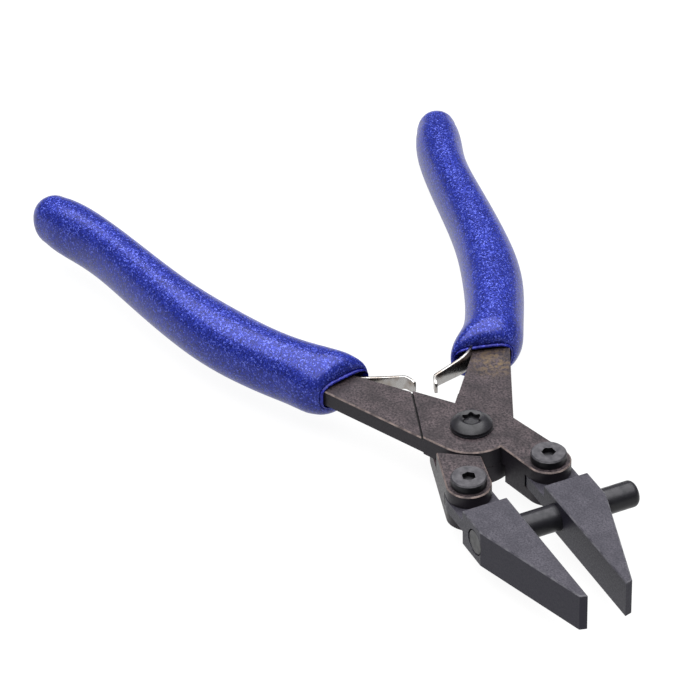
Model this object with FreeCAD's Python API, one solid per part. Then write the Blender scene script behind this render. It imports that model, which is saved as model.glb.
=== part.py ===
"""Parallel-action crimping pliers with a lapped pivot, two swinging jaws and a guide pin.

Frame: the origin is on the main pivot axis at the flat underside of the joint. +X runs to the
jaw tips along the tool's centre line, +Y to the side that the upper jaw is on, and +Z is up,
square to the flat faces. The tool is modelled fully open, as its springs hold it.

Both levers are one shape: the lower lever is the upper one turned over about the X axis. Each
lever crosses the joint, so the grip on one side works the jaw on the other side.
"""
import FreeCAD
import Part
import math
import os

Vector = FreeCAD.Vector
Z_AXIS = Vector(0, 0, 1)

# Joint and arms
THICKNESS = 8.0                 # across the flat faces of the joint, arms and jaws
MID = THICKNESS / 2
FACE_GAP = 0.12                 # between flat faces that slide over each other
EDGE_BREAK = 0.25               # chamfer on the levers' and jaws' outer edges
FRONT_RADIUS = 8.25             # round front of each lap
BACK_RADIUS = 8.0               # round back of each lap
SHOULDER_DISTANCE = 9.0         # from the pivot to the step where the arm is full thickness
SHOULDER_ANGLE = 34.3
JAW_PIVOT = Vector(15.6, 8.32, 0)
EAR_RADIUS = 4.3
EAR_THICKNESS = 2.6
ARM_INNER_ANGLE = 12.5          # slope of the arm's inner edge
TONGUE_RADIUS = 4.4
SLOT_RADIUS = 4.65

# Handle bar and its tang inside the grip
BAR_OUTER_ANGLE = 25.2          # slope of the bar's outer edge, a tangent to the lap's front
BAR_INNER_ANGLE = 37.5          # slope of the bar's inner edge
BAR_INNER_OFFSET = 5.67         # from the pivot to the bar's inner edge
BAR_TOP = 7.65
BAR_BOTTOM = 4.4
BAR_MID = (BAR_TOP + BAR_BOTTOM) / 2
STEP_ANGLE = -108.0             # direction square to the step between plate and bar
STEP_DISTANCE = 9.48
GROOVE_WIDTH = 0.35             # relief groove at the foot of the step
GROOVE_DEPTH = 0.5
BAR_STRAIGHT_INNER = 46.1       # length of the bar's inner edge before the tang curves
BAR_STRAIGHT_OUTER = 40.3
TANG_STATIONS = (4, 5, 6)       # the grip stations that the tang passes
TANG_HALF_WIDTH = 2.4

# Jaws
HALF_GAP = 3.87                 # half of the opening between the jaw faces
JAW_REAR = 22.28
JAW_SIDE = 12.95                # outer side, where the guide pin's end shows
JAW_KNEE = 29.58
JAW_TIP = 53.98
TIP_WIDTH = 1.43
TIP_SLANT = 0.4
NECK_OVERLAP = 1.0              # how far the tongue's neck runs into the jaw's block

# Pins, bushes and screws
GUIDE_X = 27.2
GUIDE_RADIUS = 2.6
GUIDE_END = 20.5
GUIDE_ROUNDING = 1.2            # fillet at the guide pin's free end
GUIDE_CHAMFER = 0.3             # at the pin's other end
GUIDE_RECESS = 0.1              # that end stops this far inside the jaw's side
RUNNING = 0.04                  # radial clearance of a pivot
GUIDE_RUNNING = 0.05
PIVOT_BUSH_RADIUS = 2.9
PIVOT_BUSH_SEAT = 1.6           # how high in the lower lever the bush's counterbore stops
BUSH_STANDOUT = 0.05            # the bush stands above the upper lap so the washer runs free
PIVOT_SHANK = 1.75
PIVOT_WASHER_RADIUS = 4.1
PIVOT_WASHER_THICKNESS = 0.3
PIVOT_HEAD_RADIUS = 4.0
PIVOT_HEAD_EDGE = 0.6           # straight part of the head under its dome
PIVOT_HEAD_HEIGHT = 1.85
PIVOT_HEAD_FLAT = 2.35          # radius of the flat on top of the dome
LOBE_RADIUS = 1.68
LOBE_DEPTH = 0.27
LOBE_COUNT = 6
LOBE_TURN = 37.0
SOCKET_RIM = 0.25               # depth of the countersink around the six-lobe socket
JAW_BUSH_RADIUS = 2.6
JAW_SHANK = 1.75
JAW_HEAD_RADIUS = 3.4
JAW_HEAD_HEIGHT = 1.75
HEX_ACROSS_FLATS = 2.38
UPPER_HEX_TURN = 5.0            # each screw stopped at its own angle when it was tightened
LOWER_HEX_TURN = 46.0
SOCKET_DEPTH = 1.0
BUSH_CLEARANCE = 0.05           # between a bush and the screw through it

# Leaf springs
LEAF_THICKNESS = 0.6
LEAF_LOW = 2.7
LEAF_HIGH = 7.1
LEAF_BEND = Vector(-22.7, -3.5, 0)
LEAF_TURN = 35.0                # how far the leaf curves away from the bar
LEAF_STRAIGHT = 6.0             # from that curve to the bend at the tip
LEAF_ROOT = 45.1                # distance along the bar's edge to the leaf's fixed end
TIP_TURN = 55.0
TIP_BEND_RADIUS = 0.9
TIP_LENGTH = 2.2
LEAF_ROOM_ACROSS = 0.35         # room around the leaf inside the collar
LEAF_ROOM_ABOVE = 0.3
RIVET_ALONG = 40.6
RIVET_RADIUS = 0.9
RIVET_HEAD_RADIUS = 1.45
RIVET_HEAD_HEIGHT = 0.6
RIVET_LENGTH = 5.2

# Grip: centre line stations from the collar to the end, with half width and half height
GRIP_STATIONS = [
    (-25.8, -15.75, 6.75, 5.7),
    (-27.6, -17.1, 7.35, 6.4),
    (-30.95, -19.7, 6.55, 6.45),
    (-35.6, -22.75, 5.95, 6.4),
    (-49.4, -29.4, 6.1, 6.35),
    (-63.4, -33.7, 5.45, 6.3),
    (-79.4, -37.0, 4.85, 6.25),
    (-95.4, -40.5, 4.8, 6.15),
    (-104.4, -43.7, 4.85, 5.9),
    (-108.8, -45.4, 3.7, 4.8),
    (-111.0, -46.2, 2.0, 2.7),
]
COLLAR_ANGLES = (14.0, 16.0, 21.0, 26.0)    # from square to the X axis, at the first stations
COLLAR_STATIONS = 2             # the stations that move with the collar's shift
UPPER_COLLAR_SHIFT = 1.1        # the two grips don't start equally far from the joint
LOWER_COLLAR_SHIFT = -1.1
LINER_WALL = 1.9                # thickness of the soft outer layer over the liner
LINER_STANDOUT = 0.7
COLLAR_OPENING = 1.0            # how far in front of the collar the cutter for its mouth starts
LINER_STATIONS = (3, 4, 5, 6, 7)

REACH = 200.0                   # larger than the tool, for cutters


def at_angle(degrees, radius=1.0):
    """A point in plan at this angle and radius from the origin."""
    return Vector(radius * math.cos(math.radians(degrees)), radius * math.sin(math.radians(degrees)), 0)


def raised(point, z):
    return Vector(point.x, point.y, z)


def line(a, b):
    return Part.LineSegment(a, b).toShape()


def arc(a, middle, b):
    return Part.Arc(a, middle, b).toShape()


def prism(edges, low, high):
    """A solid between two heights, from the edges of a closed outline in plan."""
    face = Part.Face(Part.Wire(edges))
    face.translate(Vector(0, 0, low))
    return face.extrude(Vector(0, 0, high - low))


def polygon_prism(points, low, high):
    edges = [line(a, b) for a, b in zip(points, points[1:] + points[:1])]
    return prism(edges, low, high)


def disc(centre, radius, low, high):
    return Part.makeCylinder(radius, high - low, raised(centre, low), Z_AXIS)


def beyond(angle, distance, low, high, width=REACH):
    """What lies further than this distance from the origin in the direction of angle, up to width."""
    normal = at_angle(angle)
    along = at_angle(angle + 90) * REACH
    near = normal * distance
    far = normal * (distance + width)
    corners = [near - along, far - along, far + along, near + along]
    return polygon_prism(corners, low, high)


def turned_over(shape):
    """The same shape turned half a turn about the X axis, through the middle of the joint."""
    result = shape.copy()
    result.rotate(Vector(0, 0, MID), Vector(1, 0, 0), 180)
    return result


def chamfered(shape, *heights):
    """Breaks the outline's edges in the flat faces at these heights."""
    edges = []
    for edge in shape.Edges:
        box = edge.BoundBox
        if box.ZLength < 1e-4 and any(abs(box.ZMin - z) < 1e-4 for z in heights):
            edges.append(edge)
    return shape.makeChamfer(EDGE_BREAK, edges)


def centre_line(index):
    x, y, half_width, half_height = GRIP_STATIONS[index]
    return Vector(x, y, 0)


def grip_direction(index):
    """Unit vector along the grip's centre line at a station, towards the grip's end."""
    if index < len(COLLAR_ANGLES):
        return at_angle(180 + COLLAR_ANGLES[index])
    last = len(GRIP_STATIONS) - 1
    step = centre_line(min(index + 1, last)) - centre_line(index - 1)
    return step.normalize()


def bar_edges():
    """Start points and directions, away from the joint, of the bar's outer and inner edges."""
    outer_start = at_angle(BAR_OUTER_ANGLE - 90, FRONT_RADIUS)
    outer_direction = at_angle(BAR_OUTER_ANGLE + 180)
    inner_direction = at_angle(BAR_INNER_ANGLE + 180)
    foot = at_angle(BAR_INNER_ANGLE + 90, BAR_INNER_OFFSET)
    return outer_start, outer_direction, foot, inner_direction


def lever_outline():
    """Edges of the upper lever in plan: handle on the -Y side, arm on the +Y side."""
    arm_angle = math.degrees(math.atan2(JAW_PIVOT.y, JAW_PIVOT.x))
    arm_length = JAW_PIVOT.Length
    spread = math.degrees(math.asin((BACK_RADIUS - EAR_RADIUS) / arm_length))
    outer_normal = arm_angle - spread + 90
    inner_normal = ARM_INNER_ANGLE - 90
    outer_start, outer_direction, foot, inner_direction = bar_edges()

    inner_reach = JAW_PIVOT.dot(at_angle(inner_normal)) + EAR_RADIUS
    crotch = at_angle(inner_normal, inner_reach) + at_angle(
        ARM_INNER_ANGLE, math.sqrt(FRONT_RADIUS ** 2 - inner_reach ** 2))
    ear_inner = JAW_PIVOT + at_angle(inner_normal, EAR_RADIUS)
    ear_front = JAW_PIVOT + at_angle((inner_normal + outer_normal) / 2, EAR_RADIUS)
    ear_outer = JAW_PIVOT + at_angle(outer_normal, EAR_RADIUS)
    back_start = at_angle(outer_normal, BACK_RADIUS)
    back_end = foot + inner_direction * math.sqrt(BACK_RADIUS ** 2 - BAR_INNER_OFFSET ** 2)
    front_middle = at_angle((BAR_OUTER_ANGLE - 90) / 2, FRONT_RADIUS)
    back_end_angle = math.degrees(math.atan2(back_end.y, back_end.x))
    back_middle = at_angle((outer_normal + back_end_angle) / 2, BACK_RADIUS)

    outer_bar_end = outer_start + outer_direction * BAR_STRAIGHT_OUTER
    inner_bar_end = foot + inner_direction * BAR_STRAIGHT_INNER
    outer_side = []
    inner_side = []
    for index in TANG_STATIONS:
        across = grip_direction(index).cross(Z_AXIS) * TANG_HALF_WIDTH
        outer_side.append(centre_line(index) - across)
        inner_side.append(centre_line(index) + across)
    tang = [outer_bar_end] + outer_side + inner_side[::-1] + [inner_bar_end]

    edges = [line(outer_start, outer_bar_end)]
    edges += [line(a, b) for a, b in zip(tang, tang[1:])]
    edges += [
        line(inner_bar_end, back_end),
        arc(back_end, back_middle, back_start),
        line(back_start, ear_outer),
        arc(ear_outer, ear_front, ear_inner),
        line(ear_inner, crotch),
        arc(crotch, front_middle, outer_start),
    ]
    return edges


def lever():
    """The upper lever without its screw holes."""
    edges = lever_outline()
    lap_face = MID + FACE_GAP / 2
    plate = chamfered(prism(edges, lap_face, THICKNESS), THICKNESS)
    plate = plate.cut(beyond(STEP_ANGLE, STEP_DISTANCE, 0, THICKNESS + 1))
    bar = chamfered(prism(edges, BAR_BOTTOM, BAR_TOP), BAR_TOP)
    bar = bar.common(beyond(STEP_ANGLE, STEP_DISTANCE, 0, THICKNESS))
    bar = bar.cut(beyond(STEP_ANGLE, STEP_DISTANCE, BAR_TOP - GROOVE_DEPTH, THICKNESS, GROOVE_WIDTH))
    lower_arm = chamfered(prism(edges, 0, lap_face), 0)
    lower_arm = lower_arm.common(beyond(SHOULDER_ANGLE, SHOULDER_DISTANCE, -1, THICKNESS))
    body = plate.fuse([bar, lower_arm]).removeSplitter()
    slot_low = EAR_THICKNESS
    slot_high = THICKNESS - EAR_THICKNESS
    body = body.cut(disc(JAW_PIVOT, SLOT_RADIUS, slot_low, slot_high))
    return body


def pivot_holes_upper(body):
    return body.cut(disc(Vector(0, 0, 0), PIVOT_BUSH_RADIUS + RUNNING, -1, THICKNESS + 1))


def pivot_holes_lower(body):
    body = body.cut(disc(Vector(0, 0, 0), PIVOT_SHANK, -1, THICKNESS))
    return body.cut(disc(Vector(0, 0, 0), PIVOT_BUSH_RADIUS, PIVOT_BUSH_SEAT, THICKNESS))


def jaw_screw_hole(body, centre):
    return body.cut(disc(centre, JAW_SHANK, -1, THICKNESS + 1))


def jaw(guide_bore):
    """The jaw on the +Y side: a tapered block with a tongue that fits between the arm's ears."""
    outline = [
        Vector(JAW_REAR, HALF_GAP, 0),
        Vector(JAW_TIP, HALF_GAP, 0),
        Vector(JAW_TIP - TIP_SLANT, HALF_GAP + TIP_WIDTH, 0),
        Vector(JAW_KNEE, JAW_SIDE, 0),
        Vector(JAW_REAR, JAW_SIDE, 0),
    ]
    block = polygon_prism(outline, 0, THICKNESS)
    block = chamfered(block, 0, THICKNESS)
    low = EAR_THICKNESS + FACE_GAP
    high = THICKNESS - EAR_THICKNESS - FACE_GAP
    neck = polygon_prism([
        JAW_PIVOT - Vector(0, TONGUE_RADIUS, 0),
        Vector(JAW_REAR + NECK_OVERLAP, JAW_PIVOT.y - TONGUE_RADIUS, 0),
        Vector(JAW_REAR + NECK_OVERLAP, JAW_PIVOT.y + TONGUE_RADIUS, 0),
        JAW_PIVOT + Vector(0, TONGUE_RADIUS, 0),
    ], low, high)
    body = block.fuse([neck, disc(JAW_PIVOT, TONGUE_RADIUS, low, high)]).removeSplitter()
    body = body.cut(disc(JAW_PIVOT, JAW_BUSH_RADIUS + RUNNING, -1, THICKNESS + 1))
    bore = Part.makeCylinder(guide_bore, 2 * JAW_SIDE, Vector(GUIDE_X, 0, MID), Vector(0, 1, 0))
    return body.cut(bore)


def rims_at(shape, y):
    """Edges that lie in the plane square to the Y axis at y."""
    boxes = [(edge, edge.BoundBox) for edge in shape.Edges]
    return [edge for edge, box in boxes if abs(box.YMin - y) < 1e-6 and box.YLength < 1e-6]


def guide_pin():
    start = -JAW_SIDE + GUIDE_RECESS
    pin = Part.makeCylinder(GUIDE_RADIUS, GUIDE_END - start, Vector(GUIDE_X, start, MID), Vector(0, 1, 0))
    pin = pin.makeFillet(GUIDE_ROUNDING, rims_at(pin, GUIDE_END))
    return pin.makeChamfer(GUIDE_CHAMFER, rims_at(pin, start))


def lobed_socket(z_top):
    """Cutter for a countersunk six-lobe socket. Its outline's radius rises and falls six times."""
    points = []
    for angle in range(0, 360, 10):
        radius = LOBE_RADIUS + LOBE_DEPTH * math.cos(math.radians(LOBE_COUNT * angle))
        points.append(raised(at_angle(angle + LOBE_TURN, radius), z_top - SOCKET_DEPTH))
    curve = Part.BSplineCurve()
    curve.interpolate(points, PeriodicFlag=True)
    face = Part.Face(Part.Wire([curve.toShape()]))
    socket = face.extrude(Vector(0, 0, SOCKET_DEPTH))
    rim = Part.makeCone(LOBE_RADIUS, PIVOT_HEAD_FLAT, SOCKET_RIM, Vector(0, 0, z_top - SOCKET_RIM), Z_AXIS)
    return socket.fuse(rim)


def pivot_screw():
    """Button-head screw: a domed head with a six-lobe socket, its end flush with the underside."""
    base = THICKNESS + BUSH_STANDOUT + PIVOT_WASHER_THICKNESS
    dome_height = PIVOT_HEAD_HEIGHT - PIVOT_HEAD_EDGE
    drop = (PIVOT_HEAD_RADIUS ** 2 - PIVOT_HEAD_FLAT ** 2 - dome_height ** 2) / (2 * dome_height)
    sphere_radius = math.hypot(PIVOT_HEAD_RADIUS, drop)
    centre = Vector(0, 0, base + PIVOT_HEAD_EDGE - drop)
    head = disc(Vector(0, 0, 0), PIVOT_HEAD_RADIUS, base, base + PIVOT_HEAD_HEIGHT)
    head = head.common(Part.makeSphere(sphere_radius, centre))
    head = head.cut(lobed_socket(base + PIVOT_HEAD_HEIGHT))
    return head.fuse(disc(Vector(0, 0, 0), PIVOT_SHANK, 0, base)).removeSplitter()


def ring(centre, outer, inner, low, high):
    return disc(centre, outer, low, high).cut(disc(centre, inner, low - 1, high + 1))


def hex_socket(centre, z_top, turn):
    radius = HEX_ACROSS_FLATS / 2 / math.cos(math.radians(30))
    corners = [centre + at_angle(60 * step + turn, radius) for step in range(6)]
    return polygon_prism(corners, z_top - SOCKET_DEPTH, z_top + 1)


def jaw_screw(centre, turn):
    """Low-head socket cap screw that clamps the jaw's bush between the two ears."""
    top = THICKNESS + JAW_HEAD_HEIGHT
    head = disc(centre, JAW_HEAD_RADIUS, THICKNESS, top)
    rims = [edge for edge in head.Edges if abs(edge.BoundBox.ZMin - top) < 1e-6]
    head = head.makeChamfer(EDGE_BREAK, rims)
    head = head.cut(hex_socket(centre, top, turn))
    return head.fuse(disc(centre, JAW_SHANK, 0, THICKNESS)).removeSplitter()


def leaf_path():
    """Points and arc middles of the upper lever's leaf, at the middle of its thickness."""
    foot, inner_direction = bar_edges()[2:]
    away = at_angle(BAR_INNER_ANGLE + 90)
    edge_start = foot + away * (LEAF_THICKNESS / 2)
    root = edge_start + inner_direction * LEAF_ROOT
    end_angle = BAR_INNER_ANGLE + LEAF_TURN
    free = at_angle(end_angle)
    # The root and the free stretch would meet at a corner. The arc replaces it.
    reach = (LEAF_BEND - edge_start).dot(away) / free.dot(away)
    corner = LEAF_BEND - free * reach
    cut_off = reach - LEAF_STRAIGHT
    leave = corner + inner_direction * cut_off
    arrive = corner + free * cut_off
    radius = cut_off / math.tan(math.radians(LEAF_TURN / 2))
    centre = leave + away * radius
    middle = centre + at_angle(BAR_INNER_ANGLE - 90 + LEAF_TURN / 2, radius)
    bend_centre = LEAF_BEND + at_angle(end_angle - 90, TIP_BEND_RADIUS)
    bend_middle = bend_centre + at_angle(end_angle + 90 - TIP_TURN / 2, TIP_BEND_RADIUS)
    bend_end = bend_centre + at_angle(end_angle + 90 - TIP_TURN, TIP_BEND_RADIUS)
    tip = bend_end + at_angle(end_angle - TIP_TURN, TIP_LENGTH)
    return root, leave, middle, arrive, LEAF_BEND, bend_middle, bend_end, tip


def leaf_prism(half_thickness, low, high, with_tip=True):
    """The leaf's strip, built side by side from its straight and curved stretches."""
    root, leave, middle, arrive, bend, bend_middle, bend_end, tip = leaf_path()
    stretches = [(root, None, leave), (leave, middle, arrive), (arrive, None, bend)]
    if with_tip:
        stretches += [(bend, bend_middle, bend_end), (bend_end, None, tip)]
    pieces = []
    for start, through, end in stretches:
        if through is None:
            across = (end - start).normalize().cross(Z_AXIS) * half_thickness
            pieces.append(polygon_prism([start + across, end + across, end - across, start - across],
                                        low, high))
            continue
        circle = arc(start, through, end).Curve
        centre = circle.Center
        sides = []
        for shift in (half_thickness, -half_thickness):
            sides.append([centre + (p - centre) * ((circle.Radius + shift) / circle.Radius)
                          for p in (start, through, end)])
        outer, inner = sides
        pieces.append(prism([arc(*outer), line(outer[2], inner[2]), arc(*inner), line(inner[0], outer[0])],
                            low, high))
    return pieces[0].fuse(pieces[1:]).removeSplitter()


def rivet_axis():
    foot, inner_direction = bar_edges()[2:]
    inward = at_angle(BAR_INNER_ANGLE + 90)
    face = foot + inner_direction * RIVET_ALONG + inward * LEAF_THICKNESS
    return raised(face, (LEAF_HIGH + BAR_BOTTOM) / 2), inward


def leaf_spring():
    face, inward = rivet_axis()
    start = face - inward * (2 * LEAF_THICKNESS)
    hole = Part.makeCylinder(RIVET_RADIUS, 4 * LEAF_THICKNESS, start, inward)
    return leaf_prism(LEAF_THICKNESS / 2, LEAF_LOW, LEAF_HIGH).cut(hole)


def spring_rivet():
    face, inward = rivet_axis()
    shank = Part.makeCylinder(RIVET_RADIUS, RIVET_LENGTH, face - inward * RIVET_LENGTH, inward)
    head = Part.makeCylinder(RIVET_HEAD_RADIUS, RIVET_HEAD_HEIGHT, face, inward)
    return shank.fuse(head).removeSplitter()


def grip_section(index, inset, forward=0.0):
    """One ellipse across the grip, inset from the outside of the soft layer."""
    half_width, half_height = GRIP_STATIONS[index][2:]
    half_width -= inset
    half_height -= inset
    direction = grip_direction(index)
    centre = raised(centre_line(index) - direction * forward, BAR_MID)
    upright = half_height > half_width
    major, minor = (half_height, half_width) if upright else (half_width, half_height)
    major_axis = Z_AXIS if upright else direction.cross(Z_AXIS)
    minor_axis = direction.cross(major_axis)
    ellipse = Part.Ellipse(centre + major_axis * major, centre + minor_axis * minor, centre)
    return Part.Wire([ellipse.toShape()])


def grip(lever_body, collar_shift):
    """The soft outer layer, hollow for the liner."""
    sections = [grip_section(index, 0, collar_shift) for index in range(COLLAR_STATIONS)]
    sections += [grip_section(index, 0) for index in range(COLLAR_STATIONS, len(GRIP_STATIONS))]
    solid = Part.makeLoft(sections, True)
    return solid.cut([liner_blank(collar_shift + COLLAR_OPENING), leaf_relief(), lever_body])


def liner_blank(forward):
    """The space that the liner fills, from in front of the collar to past the tang's end."""
    sections = [grip_section(0, LINER_WALL, forward)]
    sections += [grip_section(index, LINER_WALL) for index in LINER_STATIONS]
    return Part.makeLoft(sections, True)


def leaf_relief():
    """Room for the leaf where it leaves the bar inside the collar."""
    return leaf_prism(LEAF_THICKNESS / 2 + LEAF_ROOM_ACROSS, LEAF_LOW - LEAF_ROOM_ABOVE,
                      LEAF_HIGH + LEAF_ROOM_ABOVE, with_tip=False)


def grip_liner(lever_body, rivet, collar_shift):
    return liner_blank(collar_shift + LINER_STANDOUT).cut([lever_body, leaf_relief(), rivet])


def build():
    mirrored_pivot = Vector(JAW_PIVOT.x, -JAW_PIVOT.y, 0)
    origin = Vector(0, 0, 0)
    blank = lever()
    rivet = spring_rivet()
    drilled = blank.cut(rivet)
    leaf = leaf_spring()
    bush_top = THICKNESS + BUSH_STANDOUT
    return {
        "lower_lever": jaw_screw_hole(pivot_holes_lower(turned_over(drilled)), mirrored_pivot),
        "upper_lever": jaw_screw_hole(pivot_holes_upper(drilled), JAW_PIVOT),
        "lower_grip": turned_over(grip(blank, LOWER_COLLAR_SHIFT)),
        "upper_grip": grip(blank, UPPER_COLLAR_SHIFT),
        "lower_grip_liner": turned_over(grip_liner(blank, rivet, LOWER_COLLAR_SHIFT)),
        "upper_grip_liner": grip_liner(blank, rivet, UPPER_COLLAR_SHIFT),
        "lower_leaf_spring": turned_over(leaf),
        "upper_leaf_spring": leaf,
        "lower_spring_rivet": turned_over(rivet),
        "upper_spring_rivet": rivet,
        "pivot_screw": pivot_screw(),
        "pivot_washer": ring(origin, PIVOT_WASHER_RADIUS, PIVOT_SHANK + BUSH_CLEARANCE, bush_top,
                             bush_top + PIVOT_WASHER_THICKNESS),
        "pivot_bush": ring(origin, PIVOT_BUSH_RADIUS, PIVOT_SHANK + BUSH_CLEARANCE, PIVOT_BUSH_SEAT,
                           bush_top),
        "lower_jaw": turned_over(jaw(GUIDE_RADIUS)),
        "upper_jaw": jaw(GUIDE_RADIUS + GUIDE_RUNNING),
        "guide_pin": guide_pin(),
        "lower_jaw_screw": jaw_screw(mirrored_pivot, LOWER_HEX_TURN),
        "upper_jaw_screw": jaw_screw(JAW_PIVOT, UPPER_HEX_TURN),
        "lower_jaw_bush": ring(mirrored_pivot, JAW_BUSH_RADIUS, JAW_SHANK + BUSH_CLEARANCE, EAR_THICKNESS,
                               THICKNESS - EAR_THICKNESS),
        "upper_jaw_bush": ring(JAW_PIVOT, JAW_BUSH_RADIUS, JAW_SHANK + BUSH_CLEARANCE, EAR_THICKNESS,
                               THICKNESS - EAR_THICKNESS),
    }


def closing_angle(left_open=0.1):
    """How far one lever turns against the other to bring the jaws together, in degrees."""
    open_angle = math.asin(JAW_PIVOT.y / JAW_PIVOT.Length)
    closed_y = JAW_PIVOT.y - HALF_GAP + left_open / 2
    closed_angle = math.asin(closed_y / JAW_PIVOT.Length)
    return 2 * math.degrees(open_angle - closed_angle)


os.makedirs("parts", exist_ok=True)
for name, shape in build().items():
    shape.exportStep("parts/" + name + ".step")
    box = shape.BoundBox
    print(name, "solids", len(shape.Solids), "valid", shape.isValid(), "volume %.1f" % shape.Volume,
          "x %.2f %.2f y %.2f %.2f z %.2f %.2f" % (box.XMin, box.XMax, box.YMin, box.YMax, box.ZMin, box.ZMax))
print("closing angle %.3f degrees" % closing_angle())
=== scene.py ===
"""Looks of the crimping pliers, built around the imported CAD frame. Lengths are in metres."""
import math

import bpy
import numpy as np
from mathutils import Matrix, Vector


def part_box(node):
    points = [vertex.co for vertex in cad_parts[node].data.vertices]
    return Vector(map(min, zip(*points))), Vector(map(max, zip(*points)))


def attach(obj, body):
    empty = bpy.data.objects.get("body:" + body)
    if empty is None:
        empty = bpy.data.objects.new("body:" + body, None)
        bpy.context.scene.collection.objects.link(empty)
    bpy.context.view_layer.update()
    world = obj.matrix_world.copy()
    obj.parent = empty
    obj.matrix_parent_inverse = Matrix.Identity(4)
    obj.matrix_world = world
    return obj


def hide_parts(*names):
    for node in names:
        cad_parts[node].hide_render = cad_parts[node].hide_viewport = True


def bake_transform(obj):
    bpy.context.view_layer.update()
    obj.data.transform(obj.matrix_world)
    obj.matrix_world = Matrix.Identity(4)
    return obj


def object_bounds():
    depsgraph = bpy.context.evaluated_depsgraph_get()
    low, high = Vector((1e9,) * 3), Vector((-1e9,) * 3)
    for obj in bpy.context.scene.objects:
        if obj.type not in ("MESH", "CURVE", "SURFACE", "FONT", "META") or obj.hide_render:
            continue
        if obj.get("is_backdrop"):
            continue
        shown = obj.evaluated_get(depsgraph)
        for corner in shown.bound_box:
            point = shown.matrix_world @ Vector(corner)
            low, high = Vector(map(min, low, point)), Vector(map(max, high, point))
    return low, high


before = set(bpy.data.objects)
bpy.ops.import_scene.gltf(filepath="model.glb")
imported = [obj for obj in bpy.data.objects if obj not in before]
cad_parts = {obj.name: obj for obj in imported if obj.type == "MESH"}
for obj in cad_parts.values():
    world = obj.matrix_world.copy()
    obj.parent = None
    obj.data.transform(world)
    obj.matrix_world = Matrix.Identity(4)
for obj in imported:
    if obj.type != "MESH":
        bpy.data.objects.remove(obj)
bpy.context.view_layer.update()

MM = 0.001
UP = np.array([0.0, 0.0, 1.0])

# Camera
CAMERA_AZIMUTH = -23.7          # direction from the tool to the camera in plan, from +X
CAMERA_ELEVATION = 35.3
CAMERA_ROLL = -1.8
CAMERA_DISTANCE = 0.6543
CAMERA_TARGET = Vector((-0.0384, -0.0078, 0.004))
CAMERA_LENS = 169.7
CAMERA_SENSOR = 36.0
CAMERA_NEAR = 0.01
CAMERA_FAR = 20.0

# Studio
FLOOR_GAP = 0.02 * MM           # between the tool and the floor
FLOOR_HALF_SIZE = 3.0
FLOOR_GLOW = 0.93               # the floor is lit from inside, like a light table
CEILING_PLACE = (-0.1, 0.0, 1.2)
CEILING_SIZE = 2.4
CEILING_POWER = 65.0
# Places from straight down (0) to straight up (1), each with its brightness
SKY_STOPS = ((0.0, 0.6), (0.5, 0.3), (0.52, 0.09), (0.75, 0.1), (0.85, 0.6), (1.0, 0.6))

# Steel
RECESS_SHADE = (0.004, 0.004, 0.005)   # painted shade, laid into sockets and corners
RECESS_SHADE_REACH = 1.5 * MM          # how wide a corner or slot still gets the painted shade
SCREW_RECESS_SHADE_REACH = 1.6 * MM
GRIND_STRETCH = (0.06, 1.0, 1.0)    # grinding lines on the flat faces run along X
BRUSH_STRETCH = (1.0, 1.0, 0.08)    # the leaf springs' lines run up and down
SCRATCH_WIDTH = 0.12 * MM
STAIN_RADIUS = 6.0 * MM
STAIN_AHEAD = 3.0 * MM          # of the lower grip's front
STAIN_ASIDE = 14.0 * MM         # from the tip of the lower leaf spring
STAIN_HEIGHT = 3.6 * MM
STAIN_COLOUR = (0.1, 0.07, 0.04)

# Tracing of the CAD solids' sections
TRACE_LIMIT = 1000              # sections at most
FIRST_SECTION = 0.5 * MM        # the first section is this far inside the solid's end
GRIP_REACH = 14.0 * MM          # a section counts only what is this close to its middle
BAR_REACH = 9.0 * MM
LEAF_REACH = 3.0 * MM
GRIP_SMOOTHING = 6              # passes over the traced values
LEAF_SMOOTHING = 2

# Grips
COLLAR_ANGLE = 14.0             # the collar's mouth is this far from square to the X axis
TRACE_STEP = 1.0 * MM
GRIP_RING_POINTS = 96
GRIP_RING_SPACING = 2.0 * MM    # along the body, roughly
GRIP_END_RADIUS = 5.2 * MM      # length of the rounded end
GRIP_END_STEP = 10              # degrees between the rings of the rounded end
RIM_DEPTH = 0.05 * MM           # points this close to the foremost one belong to the rim
PAST_LAST_SECTION = 0.3 * MM    # the grip ends this far behind the last one
FULL_FROM = 2.5 * MM            # behind the mouth's plane, where the collar is at its full width
TILTED_UNTIL = 1.0 * MM         # rings are parallel to the mouth up to here
SQUARE_FROM = 14.0 * MM         # and square to the centre line from here on
BODY_ANGLE = 26.0               # which runs at this angle to the X axis there
MOUTH_GAP = 0.35 * MM           # between the bar and the lip around it
MOUTH_ROOM = 0.9 * MM           # under the bar
MOUTH_WALL = 1.3 * MM           # beside the leaf spring
MOUTH_SQUARENESS = 4.5
BODY_SQUARENESS = 2.15
SLEEVE_DEPTH = 10.0 * MM        # how far the mouth's hollow goes in

# Leaf springs
LEAF_STEP = 0.3 * MM
LEAF_ROUNDING = 0.12 * MM
LEAF_ROOT_LENGTH = 0.7 * MM     # the stretch whose middle is the root
LEAF_AIM_LENGTH = 4.0 * MM      # the stretch that gives the first direction
LEAF_END_LENGTH = 0.9 * MM      # rounded corners of the strip's two ends
LEAF_END_INSET = 0.35 * MM
LEAF_ROOT_SHARE = 0.5           # height of the root, inside the collar, as a share of the middle's
LEAF_TIP_SHARE = 0.64           # and of the tip
LEAF_ROOT_GROWS = (0.3, 0.62)   # shares of the length between which the root's height grows
LEAF_TIP_SHRINKS = (0.45, 1.0)  # and the tip's shrinks


# ---------------------------------------------------------------- meshes

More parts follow.
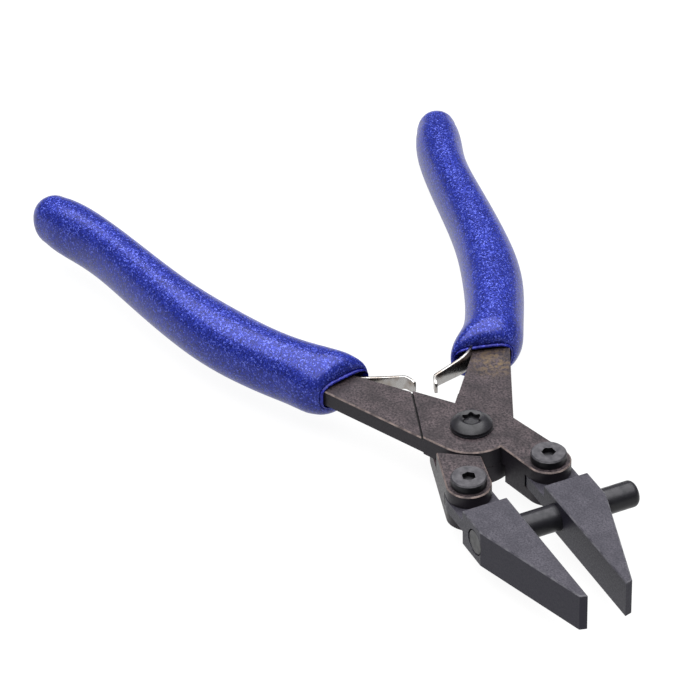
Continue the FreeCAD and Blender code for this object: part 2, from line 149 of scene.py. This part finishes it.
def make_object(name, vertices, faces, material, smooth=True):
    mesh = bpy.data.meshes.new(name)
    mesh.from_pydata([tuple(v) for v in vertices], [], faces)
    mesh.validate()
    mesh.polygons.foreach_set("use_smooth", [smooth] * len(mesh.polygons))
    mesh.materials.append(material)
    piece = bpy.data.objects.new(name, mesh)
    bpy.context.scene.collection.objects.link(piece)
    return piece


def loft(name, rings, material, joined=False):
    """A closed skin through rings of equally many points. Unless joined, its ends are capped."""
    count = len(rings[0])
    vertices = [point for ring in rings for point in ring]
    faces = []
    spans = len(rings) if joined else len(rings) - 1
    for span in range(spans):
        here = span * count
        there = (span + 1) % len(rings) * count
        for k in range(count):
            after = (k + 1) % count
            faces.append((here + k, here + after, there + after, there + k))
    if not joined:
        for start, flip in ((0, True), ((len(rings) - 1) * count, False)):
            vertices.append(np.mean(vertices[start:start + count], axis=0))
            centre = len(vertices) - 1
            for k in range(count):
                after = (k + 1) % count
                face = (start + k, start + after, centre)
                faces.append(face[::-1] if flip else face)
    piece = make_object(name, vertices, faces, material)
    facing_out(piece.data)
    return piece


def facing_out(mesh):
    """Turns all the faces over if the closed mesh is inside out."""
    corners = [[mesh.vertices[i].co for i in face.vertices] for face in mesh.polygons]
    volume = sum(c[0].dot(c[i].cross(c[i + 1])) for c in corners for i in range(1, len(c) - 1))
    if volume < 0:
        mesh.flip_normals()


def edge_arrays(node):
    """A CAD node's points, and the two ends of each of its edges."""
    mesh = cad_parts[node].data
    points = np.array([v.co for v in mesh.vertices], float)
    ends = np.array([e.vertices for e in mesh.edges], int)
    return points, ends


def across(direction):
    """The level direction square to the one given, on its right."""
    side = np.cross(direction, UP)
    return side / np.linalg.norm(side)


def section(arrays, point, direction, reach):
    """Middle and half sizes, across and up, of what a plane cuts within reach of the point."""
    points, ends = arrays
    side = (points - point) @ direction
    a, b = ends.T
    cut = side[a] * side[b] < 0
    a, b = a[cut], b[cut]
    share = (side[a] / (side[a] - side[b]))[:, None]
    hits = points[a] + (points[b] - points[a]) * share
    hits = hits[np.linalg.norm(hits - point, axis=1) < reach]
    if len(hits) < 4:
        return None
    sideways = (hits - point) @ across(direction)
    heights = hits[:, 2]
    middle = point + across(direction) * (sideways.max() + sideways.min()) / 2
    middle[2] = (heights.max() + heights.min()) / 2
    return middle, np.ptp(sideways) / 2, np.ptp(heights) / 2


def trace(arrays, start, direction, step, reach, steer=None):
    """Follows a long node from section to section: middles, half sizes, and sections' directions.

    steer gives the direction at a distance, or None where the node's own course gives it."""
    middles, sizes, directions = [], [], []
    point = np.array(start, float)
    direction = np.array(direction, float)
    while len(middles) < TRACE_LIMIT:
        found = section(arrays, point, direction, reach)
        if found is None:
            break
        middle, half_width, half_height = found
        directions.append(direction)
        steered = steer(len(middles) * step) if steer else None
        if steered is not None:
            direction = steered
        elif middles:
            direction = middle - middles[-1]
            direction = direction / np.linalg.norm(direction)
        middles.append(middle)
        sizes.append((half_width, half_height))
        point = middle + direction * step
    return np.array(middles), np.array(sizes), np.array(directions)


def smoothed(values, passes):
    """The values evened out along the line. The first and the last one stay."""
    values = np.array(values, float)
    for _ in range(passes):
        inner = (values[:-2] + 2 * values[1:-1] + values[2:]) / 4
        values = np.concatenate([values[:1], inner, values[-1:]])
    return values


def lookup(distance, along, values):
    """The value at a distance along a traced line, carried on straight before its start."""
    found = np.array([np.interp(distance, along, column) for column in values.T])
    if distance < along[0]:
        found += (values[1] - values[0]) / (along[1] - along[0]) * (distance - along[0])
    return found


def smoothstep(low, high, value):
    """0 up to low, 1 from high on, with a smooth rise between."""
    share = min(max((value - low) / (high - low), 0.0), 1.0)
    return share * share * (3 - 2 * share)


def superellipse(half_width, half_height, squareness, count):
    """Points of a rounded outline. A squareness of 2 is an ellipse, and more is squarer."""
    points = []
    for k in range(count):
        angle = 2 * math.pi * k / count
        cosine = math.cos(angle)
        sine = math.sin(angle)
        points.append((half_width * math.copysign(abs(cosine) ** (2 / squareness), cosine),
                       half_height * math.copysign(abs(sine) ** (2 / squareness), sine)))
    return np.array(points)


# ---------------------------------------------------------------- node materials

def new_material(name):
    material = bpy.data.materials.new(name)
    material.use_nodes = True
    tree = material.node_tree
    return material, tree, tree.nodes["Principled BSDF"]


def add(tree, kind, inputs=None, **settings):
    """A node with its settings, and its inputs given as values or as other nodes' outputs."""
    node = tree.nodes.new(kind)
    for name, value in settings.items():
        setattr(node, name, value)
    for name, value in (inputs or {}).items():
        if isinstance(value, bpy.types.NodeSocket):
            tree.links.new(value, node.inputs[name])
        else:
            node.inputs[name].default_value = value
    return node


def object_point(tree):
    return add(tree, "ShaderNodeTexCoord").outputs["Object"]


def noise(tree, point, size, detail=3.0, roughness=0.55):
    """Cloudy noise from 0 to 1 whose blotches are about this large."""
    return add(tree, "ShaderNodeTexNoise", {
        "Vector": point, "Scale": 1 / size, "Detail": detail, "Roughness": roughness,
    }).outputs["Fac"]


def remap(tree, value, low, high, to_low=0.0, to_high=1.0):
    """Stretches the range from low to high over another, and clips what is outside it."""
    return add(tree, "ShaderNodeMapRange", {
        "Value": value, "From Min": low, "From Max": high, "To Min": to_low, "To Max": to_high,
    }).outputs["Result"]


def mix(tree, share, first, second):
    """A blend of two colours, each an RGB tuple or another node's output."""
    node = add(tree, "ShaderNodeMix", data_type="RGBA")
    for socket, value in ((node.inputs[0], share), (node.inputs[6], first), (node.inputs[7], second)):
        if isinstance(value, bpy.types.NodeSocket):
            tree.links.new(value, socket)
        elif isinstance(value, tuple):
            socket.default_value = (*value, 1.0)
        else:
            socket.default_value = value
    return node.outputs[2]


def times(tree, first, second):
    node = add(tree, "ShaderNodeMath", {0: first, 1: second}, operation="MULTIPLY")
    return node.outputs[0]


def vector_math(tree, operation, inputs):
    return add(tree, "ShaderNodeVectorMath", inputs, operation=operation).outputs["Vector"]


def bump(tree, height, depth):
    return add(tree, "ShaderNodeBump", {"Height": height, "Distance": depth}).outputs["Normal"]


def facing_up(tree):
    """How far a face looks straight up or down: 1 on the flat faces, 0 on the sides."""
    normal = add(tree, "ShaderNodeNewGeometry").outputs["Normal"]
    upright = add(tree, "ShaderNodeSeparateXYZ", {0: normal}).outputs["Z"]
    return add(tree, "ShaderNodeMath", {0: upright}, operation="ABSOLUTE").outputs[0]


def recess_shade_mask(tree, reach):
    """1 deep in the piece's own sockets, slots and corners, 0 on its open faces: where shade is painted
    into the colour.
    """
    node = add(tree, "ShaderNodeAmbientOcclusion", {"Distance": reach}, only_local=True, samples=8)
    return remap(tree, node.outputs["AO"], 0.85, 0.45)


def edge_mask(tree):
    """1 on the chamfers, which lie between the flat faces and the sides."""
    upright = facing_up(tree)
    above = remap(tree, upright, 0.35, 0.5)
    below = remap(tree, upright, 0.95, 0.85)
    return times(tree, above, below)


def scratches(tree, point, stretch):
    """Fine straight grinding lines. The stretch squeezes the noise along the lines' direction."""
    scaled = add(tree, "ShaderNodeMapping", {"Vector": point, "Scale": stretch}).outputs["Vector"]
    return noise(tree, scaled, SCRATCH_WIDTH, detail=2.0)


def black_oxide(name, flat, flat_dark, side, worn_and_highlight, grain, stain_centre=None):
    """Blackened steel: ground flat faces, sides painted darker as shade, and lighter chamfers, partly
    worn to bare metal and partly a painted highlight.
    """
    material, tree, shader = new_material(name)
    point = object_point(tree)
    clouds = remap(tree, noise(tree, point, 3.5 * MM, detail=4.0), 0.35, 0.65)
    mottle = remap(tree, noise(tree, point, grain, detail=5.0, roughness=0.7), 0.38, 0.62)
    blend = times(tree, mottle, remap(tree, clouds, 0.0, 1.0, 0.35, 1.0))
    top = mix(tree, blend, flat_dark, flat)
    if stain_centre:
        away = add(tree, "ShaderNodeVectorMath", {0: point, 1: stain_centre}, operation="DISTANCE")
        near = remap(tree, away.outputs["Value"], STAIN_RADIUS, 0.2 * STAIN_RADIUS)
        spots = remap(tree, noise(tree, point, 0.8 * MM, detail=3.0), 0.45, 0.62)
        top = mix(tree, times(tree, near, spots), top, STAIN_COLOUR)
    # Painted shade: upright faces take the darker side colour, and flat faces the lit one.
    upright = remap(tree, facing_up(tree), 0.4, 0.9)
    base = mix(tree, upright, side, top)
    rubbed = remap(tree, noise(tree, point, 1.6 * MM, detail=3.0), 0.36, 0.6, 0.25, 1.0)
    # Chamfers: bare metal worn through, and a painted highlight along the edges.
    base = mix(tree, times(tree, edge_mask(tree), rubbed), base, worn_and_highlight)
    # Painted shade: sockets, slots and corners turn near black.
    base = mix(tree, times(tree, recess_shade_mask(tree, RECESS_SHADE_REACH), 0.8), base, RECESS_SHADE)
    tree.links.new(base, shader.inputs["Base Color"])
    shader.inputs["Metallic"].default_value = 0.15
    shader.inputs["Specular IOR Level"].default_value = 0.2
    tree.links.new(remap(tree, mottle, 0.0, 1.0, 0.52, 0.34), shader.inputs["Roughness"])
    lines = scratches(tree, point, GRIND_STRETCH)
    relief = add(tree, "ShaderNodeMath", {0: lines, 1: mottle}, operation="ADD").outputs[0]
    tree.links.new(bump(tree, relief, 0.006 * MM), shader.inputs["Normal"])
    return material


def smooth_steel(name, colour, dark, side, metallic, rough_low, rough_high):
    """Turned and hardened steel with faint clouds in its finish, and painted shade on its upright walls
    and in its recesses.
    """
    material, tree, shader = new_material(name)
    point = object_point(tree)
    clouds = remap(tree, noise(tree, point, 1.2 * MM, detail=4.0), 0.35, 0.65)
    fine = noise(tree, point, 0.09 * MM, detail=2.0)
    # Painted shade: upright walls take the darker side colour.
    upright = remap(tree, facing_up(tree), 0.3, 0.85)
    base = mix(tree, upright, side, mix(tree, clouds, dark, colour))
    # Painted shade in the piece's own sockets and corners.
    base = mix(tree, times(tree, recess_shade_mask(tree, SCREW_RECESS_SHADE_REACH), 0.98), base, RECESS_SHADE)
    tree.links.new(base, shader.inputs["Base Color"])
    shader.inputs["Metallic"].default_value = metallic
    shader.inputs["Specular IOR Level"].default_value = 0.28
    tree.links.new(remap(tree, clouds, 0.0, 1.0, rough_high, rough_low), shader.inputs["Roughness"])
    tree.links.new(bump(tree, fine, 0.003 * MM), shader.inputs["Normal"])
    return material


def spring_steel():
    """Bright rolled strip, finely brushed, with a faint heat tint."""
    material, tree, shader = new_material("spring_strip")
    point = object_point(tree)
    brushed = scratches(tree, point, BRUSH_STRETCH)
    tint = remap(tree, noise(tree, point, 2.5 * MM, detail=2.0), 0.45, 0.7)
    colour = mix(tree, tint, (0.38, 0.37, 0.36), (0.24, 0.2, 0.17))
    tree.links.new(colour, shader.inputs["Base Color"])
    shader.inputs["Metallic"].default_value = 1.0
    tree.links.new(remap(tree, brushed, 0.3, 0.7, 0.16, 0.34), shader.inputs["Roughness"])
    tree.links.new(bump(tree, brushed, 0.004 * MM), shader.inputs["Normal"])
    return material


def glitter_vinyl(name, deep, body, flake, flake_size, sparkle):
    """Glossy dipped vinyl full of fine flakes, each flake with its own shade and its own tilt."""
    material, tree, shader = new_material(name)
    point = object_point(tree)
    cells = add(tree, "ShaderNodeTexVoronoi", {"Vector": point, "Scale": 1 / flake_size})
    pick = add(tree, "ShaderNodeSeparateColor", {"Color": cells.outputs["Color"]}).outputs["Red"]
    streaks = remap(tree, noise(tree, point, 9 * MM, detail=2.0), 0.35, 0.65)
    colour = mix(tree, remap(tree, pick, 0.0, 0.75), deep, body)
    colour = mix(tree, times(tree, streaks, 0.25), colour, deep)
    colour = mix(tree, remap(tree, pick, 0.8, 1.0, 0.0, 0.8), colour, flake)
    tree.links.new(colour, shader.inputs["Base Color"])
    shader.inputs["Metallic"].default_value = 0.28
    shader.inputs["Roughness"].default_value = 0.38
    shader.inputs["Specular IOR Level"].default_value = 0.12
    shader.inputs["Coat Weight"].default_value = 0.22
    shader.inputs["Coat Roughness"].default_value = 0.18
    lean = vector_math(tree, "SUBTRACT", {0: cells.outputs["Color"], 1: (0.5, 0.5, 0.5)})
    tilt = vector_math(tree, "SCALE", {0: lean, "Scale": sparkle})
    swell = bump(tree, noise(tree, point, 6 * MM, detail=2.0), 0.12 * MM)
    tilted = vector_math(tree, "ADD", {0: swell, 1: tilt})
    tree.links.new(vector_math(tree, "NORMALIZE", {0: tilted}), shader.inputs["Normal"])
    return material


# ---------------------------------------------------------------- grips

def collar_profile():
    """Outline of the collar, from the body over the shoulder into the mouth.

    Each entry is the share of the way from the body's outline to the mouth's, and the distance
    behind the mouth's plane."""
    return [(0.0, 5.0), (0.0, 3.8), (0.02, 3.0), (0.06, 2.2), (0.12, 1.55), (0.2, 1.05), (0.3, 0.65),
            (0.42, 0.35), (0.55, 0.15), (0.68, 0.05), (0.77, 0.12), (0.8, 0.35), (0.8, 1.0),
            (0.8, 4.0), (0.8, SLEEVE_DEPTH / MM)]


def lip_profile():
    """Cross-section of the liner's lip: out along the sleeve, round the bead, back along the bar."""
    return [(0.79, SLEEVE_DEPTH / MM), (0.79, 4.0), (0.79, 0.6), (0.795, 0.0), (0.82, -0.3),
            (0.86, -0.46), (0.91, -0.42), (0.95, -0.2), (0.97, 0.2), (0.975, 1.0), (0.975, 4.0),
            (0.975, SLEEVE_DEPTH / MM)]


class GripLine:
    """Centre line, sizes and mouth of one grip, measured on its CAD solid."""

    def __init__(self, half, side):
        self.side = side
        self.forward = -self.steer(0.0)
        arrays = edge_arrays(half + "_grip")
        reach_forward = arrays[0] @ self.forward
        rim = arrays[0][reach_forward > reach_forward.max() - RIM_DEPTH]
        start = (rim.max(axis=0) + rim.min(axis=0)) / 2 - self.forward * FIRST_SECTION
        middles, sizes, directions = trace(arrays, start, -self.forward, TRACE_STEP, GRIP_REACH,
                                           self.steer)
        self.middles = smoothed(middles, GRIP_SMOOTHING)
        self.sizes = smoothed(sizes, GRIP_SMOOTHING)
        self.directions = smoothed(directions, GRIP_SMOOTHING)
        steps = np.linalg.norm(np.diff(self.middles, axis=0), axis=1)
        self.along = np.concatenate([[0.0], np.cumsum(steps)]) + FIRST_SECTION
        self.length = self.along[-1] + PAST_LAST_SECTION
        self.measure_mouth(half, side)

    def steer(self, distance):
        """Sections turn from the mouth's angle to the body's over the collar."""
        if distance > SQUARE_FROM:
            return None
        turn = smoothstep(TILTED_UNTIL, SQUARE_FROM, distance)
        angle = math.radians(COLLAR_ANGLE + (BODY_ANGLE - COLLAR_ANGLE) * turn)
        return np.array([-math.cos(angle), self.side * math.sin(angle), 0.0])

    def measure_mouth(self, half, side):
        """The mouth fits the bar closely at its outer side, and leaves room for the leaf spring."""
        centre = lookup(0.0, self.along, self.middles)
        inward = across(-self.forward) * -side
        bar, bar_half_width, bar_half_height = section(edge_arrays(half + "_lever"), centre,
                                                       self.forward, BAR_REACH)
        outer_edge = (bar - centre) @ inward - bar_half_width - MOUTH_GAP
        inner_edge = self.sizes[0][0] - MOUTH_WALL
        top = bar[2] - centre[2] + bar_half_height + MOUTH_GAP
        bottom = bar[2] - centre[2] - bar_half_height - MOUTH_ROOM
        self.mouth_shift = np.array([(outer_edge + inner_edge) / 2 * -side, (top + bottom) / 2])
        self.mouth_size = ((inner_edge - outer_edge) / 2, (top - bottom) / 2)

    def ring(self, distance, share=0.0):
        """One ring at a distance behind the mouth's plane."""
        half_width, half_height = lookup(max(distance, FULL_FROM), self.along, self.sizes)
        body = superellipse(half_width, half_height, BODY_SQUARENESS, GRIP_RING_POINTS)
        mouth = superellipse(*self.mouth_size, MOUTH_SQUARENESS, GRIP_RING_POINTS) + self.mouth_shift
        flat = body * (1 - share) + mouth * share
        direction = lookup(max(distance, self.along[0]), self.along, self.directions)
        centre = lookup(distance, self.along, self.middles)
        return centre + np.outer(flat[:, 0], across(direction)) + np.outer(flat[:, 1], UP)


def make_grip(half, side, vinyl, liner):
    """A grip from its mouth's hollow over the collar to the rounded end, and the lip in its mouth."""
    line = GripLine(half, side)
    rings = [line.ring(back * MM, share) for share, back in collar_profile()][::-1]
    dome_start = line.length - GRIP_END_RADIUS
    body_start = collar_profile()[0][1] * MM
    count = round((dome_start - body_start) / GRIP_RING_SPACING)
    for k in range(1, count + 1):
        rings.append(line.ring(body_start + (dome_start - body_start) * k / count))
    for degrees in range(GRIP_END_STEP, 90, GRIP_END_STEP):
        rings.append(dome_ring(line, dome_start, math.radians(degrees)))

    grip = loft(half + "_grip_sleeve", rings, vinyl)
    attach(grip, half + "_half")
    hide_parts(half + "_grip")

    lip_rings = [line.ring(back * MM, share) for share, back in lip_profile()]
    lip = loft(half + "_grip_lip", lip_rings, liner, joined=True)
    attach(lip, half + "_half")
    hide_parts(half + "_grip_liner")


def dome_ring(line, dome_start, angle):
    """A ring of the rounded end: its size falls as a quarter circle while it moves back."""
    full = line.ring(dome_start)
    centre = full.mean(axis=0)
    straight = lookup(dome_start, line.along, line.directions)
    return centre + straight * GRIP_END_RADIUS * math.sin(angle) + (full - centre) * math.cos(angle)


# ---------------------------------------------------------------- leaf springs

def rounded_bar_section(half_thickness, half_height, rounding):
    """Corner-rounded rectangle, as points across and up."""
    points = []
    for corner, (side_x, side_y) in enumerate(((1, 1), (-1, 1), (-1, -1), (1, -1))):
        for k in range(4):
            angle = math.radians(90 * corner + 30 * k)
            points.append((side_x * (half_thickness - rounding) + rounding * math.cos(angle),
                           side_y * (half_height - rounding) + rounding * math.sin(angle)))
    return np.array(points)


def make_leaf(half, material):
    """A leaf spring follows its CAD solid's path, with rounded edges and a narrower tip."""
    node = half + "_leaf_spring"
    arrays = edge_arrays(node)
    points = arrays[0]
    from_root = points[:, 0] - points[:, 0].min()
    root = points[from_root < LEAF_ROOT_LENGTH].mean(axis=0)
    towards = points[from_root < LEAF_AIM_LENGTH].mean(axis=0) - root
    towards[2] = 0
    towards /= np.linalg.norm(towards)
    middles, sizes, _ = trace(arrays, root + towards * FIRST_SECTION, towards, LEAF_STEP, LEAF_REACH)
    middles = smoothed(middles, LEAF_SMOOTHING)
    half_thickness = np.median(sizes[:, 0])
    half_height = np.median(sizes[:, 1])
    rings = []
    last = len(middles) - 1
    for k in range(last + 1):
        ahead = middles[min(k + 1, last)] - middles[max(k - 1, 0)]
        ahead /= np.linalg.norm(ahead)
        taper = 1 - (1 - LEAF_TIP_SHARE) * smoothstep(*LEAF_TIP_SHRINKS, k / last)
        taper -= (1 - LEAF_ROOT_SHARE) * (1 - smoothstep(*LEAF_ROOT_GROWS, k / last))
        from_end = min(k, last - k) * LEAF_STEP
        inset = max(0.0, 1 - from_end / LEAF_END_LENGTH) ** 2 * LEAF_END_INSET
        flat = rounded_bar_section(half_thickness, half_height * taper - inset, LEAF_ROUNDING)
        rings.append(middles[k] + np.outer(flat[:, 0], across(ahead)) + np.outer(flat[:, 1], UP))
    leaf = loft(half + "_leaf", rings, material)
    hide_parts(node)

    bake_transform(leaf)


# ---------------------------------------------------------------- stage

def aim(viewer, position, target, roll=0.0):
    """Places a camera or light so that it looks at the target."""
    back = (position - target).normalized()
    right = Vector(UP).cross(back).normalized()
    up = back.cross(right)
    turn = Matrix.Rotation(math.radians(roll), 3, back)
    axes = Matrix((turn @ right, turn @ up, back)).transposed()
    viewer.matrix_world = Matrix.Translation(position) @ axes.to_4x4()


def make_camera():
    data = bpy.data.cameras.new("camera")
    data.lens = CAMERA_LENS
    data.sensor_width = CAMERA_SENSOR
    data.clip_start = CAMERA_NEAR
    data.clip_end = CAMERA_FAR
    camera = bpy.data.objects.new("camera", data)
    bpy.context.scene.collection.objects.link(camera)
    azimuth = math.radians(CAMERA_AZIMUTH)
    elevation = math.radians(CAMERA_ELEVATION)
    back = Vector((math.cos(elevation) * math.cos(azimuth), math.cos(elevation) * math.sin(azimuth),
                   math.sin(elevation)))
    aim(camera, CAMERA_TARGET + back * CAMERA_DISTANCE, CAMERA_TARGET, CAMERA_ROLL)
    bpy.context.scene.camera = camera


def make_world():
    """Studio surroundings: pale below, a dark band above the horizon, and light overhead."""
    world = bpy.data.worlds.new("studio")
    world.use_nodes = True
    bpy.context.scene.world = world
    tree = world.node_tree
    direction = add(tree, "ShaderNodeTexCoord").outputs["Generated"]
    height = add(tree, "ShaderNodeSeparateXYZ", {0: direction}).outputs["Z"]
    share = remap(tree, height, -1.0, 1.0)
    ramp = add(tree, "ShaderNodeValToRGB", {"Fac": share})
    elements = ramp.color_ramp.elements
    for place, _ in SKY_STOPS[1:-1]:
        elements.new(place)
    for element, (_, value) in zip(elements, SKY_STOPS):
        element.color = (value, value, value, 1.0)
    background = tree.nodes["Background"]
    tree.links.new(ramp.outputs["Color"], background.inputs["Color"])
    background.inputs["Strength"].default_value = 1.0


def make_ceiling_light():
    data = bpy.data.lights.new("ceiling", "AREA")
    data.shape = "DISK"
    data.size = CEILING_SIZE
    data.energy = CEILING_POWER
    light = bpy.data.objects.new("ceiling", data)
    bpy.context.scene.collection.objects.link(light)
    aim(light, Vector(CEILING_PLACE), Vector((0, 0, 0)))


def make_floor(height):
    """A pale floor that keeps the shadows under the tool faint."""
    material, tree, shader = new_material("pale_floor")
    point = object_point(tree)
    tone = remap(tree, noise(tree, point, 0.05, detail=2.0), 0.3, 0.7)
    tree.links.new(mix(tree, tone, (0.07, 0.07, 0.07), (0.08, 0.08, 0.08)), shader.inputs["Base Color"])
    shader.inputs["Emission Color"].default_value = (1.0, 1.0, 1.0, 1.0)
    shader.inputs["Emission Strength"].default_value = FLOOR_GLOW
    shader.inputs["Roughness"].default_value = 0.9
    shader.inputs["Specular IOR Level"].default_value = 0.1
    size = FLOOR_HALF_SIZE
    corners = [(-size, -size, height), (size, -size, height), (size, size, height), (-size, size, height)]
    floor = make_object("floor", corners, [(0, 1, 2, 3)], material, smooth=False)
    floor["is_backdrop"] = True


# ---------------------------------------------------------------- build

def paint(node, material):
    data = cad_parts[node].data
    data.materials.clear()
    data.materials.append(material)


make_camera()

# A brown stain on the lower bar, just in front of its grip
stain_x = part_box("lower_grip")[1].x + STAIN_AHEAD
stain_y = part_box("lower_leaf_spring")[0].y + STAIN_ASIDE

# Each side colour below is painted shade, a darker copy for the upright faces.
lever_black = black_oxide("lever_black", flat=(0.075, 0.057, 0.062), flat_dark=(0.01, 0.008, 0.01),
                          side=(0.014, 0.012, 0.016), worn_and_highlight=(0.16, 0.125, 0.115), grain=0.45 * MM,
                          stain_centre=(stain_x, stain_y, STAIN_HEIGHT))
jaw_black = black_oxide("jaw_black", flat=(0.06, 0.056, 0.07), flat_dark=(0.022, 0.021, 0.029),
                        side=(0.016, 0.015, 0.024), worn_and_highlight=(0.09, 0.088, 0.1), grain=0.35 * MM)
screw_black = smooth_steel("screw_black", colour=(0.07, 0.067, 0.074), dark=(0.034, 0.033, 0.038),
                           side=(0.008, 0.008, 0.01), metallic=0.4, rough_low=0.34, rough_high=0.5)
pivot_black = smooth_steel("pivot_black", colour=(0.02, 0.019, 0.023), dark=(0.009, 0.009, 0.011),
                           side=(0.008, 0.008, 0.01), metallic=0.0, rough_low=0.26, rough_high=0.4)
pin_black = smooth_steel("pin_black", colour=(0.018, 0.017, 0.021), dark=(0.011, 0.011, 0.014),
                         side=(0.008, 0.008, 0.01), metallic=0.2, rough_low=0.28, rough_high=0.42)
bare_steel = smooth_steel("bare_steel", colour=(0.5, 0.5, 0.52), dark=(0.4, 0.4, 0.42),
                          side=(0.3, 0.3, 0.32), metallic=1.0, rough_low=0.25, rough_high=0.4)
strip = spring_steel()
vinyl = glitter_vinyl("glitter_vinyl", deep=(0.005, 0.008, 0.085), body=(0.017, 0.028, 0.26),
                      flake=(0.1, 0.13, 0.52), flake_size=0.24 * MM, sparkle=0.24)
liner = glitter_vinyl("lip_vinyl", deep=(0.004, 0.005, 0.1), body=(0.012, 0.016, 0.2),
                      flake=(0.04, 0.05, 0.35), flake_size=0.4 * MM, sparkle=0.1)

for half in ("lower", "upper"):
    paint(half + "_lever", lever_black)
    paint(half + "_jaw", jaw_black)
    paint(half + "_jaw_screw", screw_black)
    paint(half + "_jaw_bush", bare_steel)
    paint(half + "_spring_rivet", bare_steel)
paint("pivot_screw", pivot_black)
paint("pivot_washer", pivot_black)
paint("pivot_bush", bare_steel)
paint("guide_pin", pin_black)

for half, other, side in (("lower", "upper", 1), ("upper", "lower", -1)):
    make_grip(half, side, vinyl, liner)
    make_leaf(half, strip)

make_world()
make_floor(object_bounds()[0].z - FLOOR_GAP)
bpy.context.scene.view_settings.view_transform = "Standard"
bpy.context.scene.view_settings.look = "None"
make_ceiling_light()
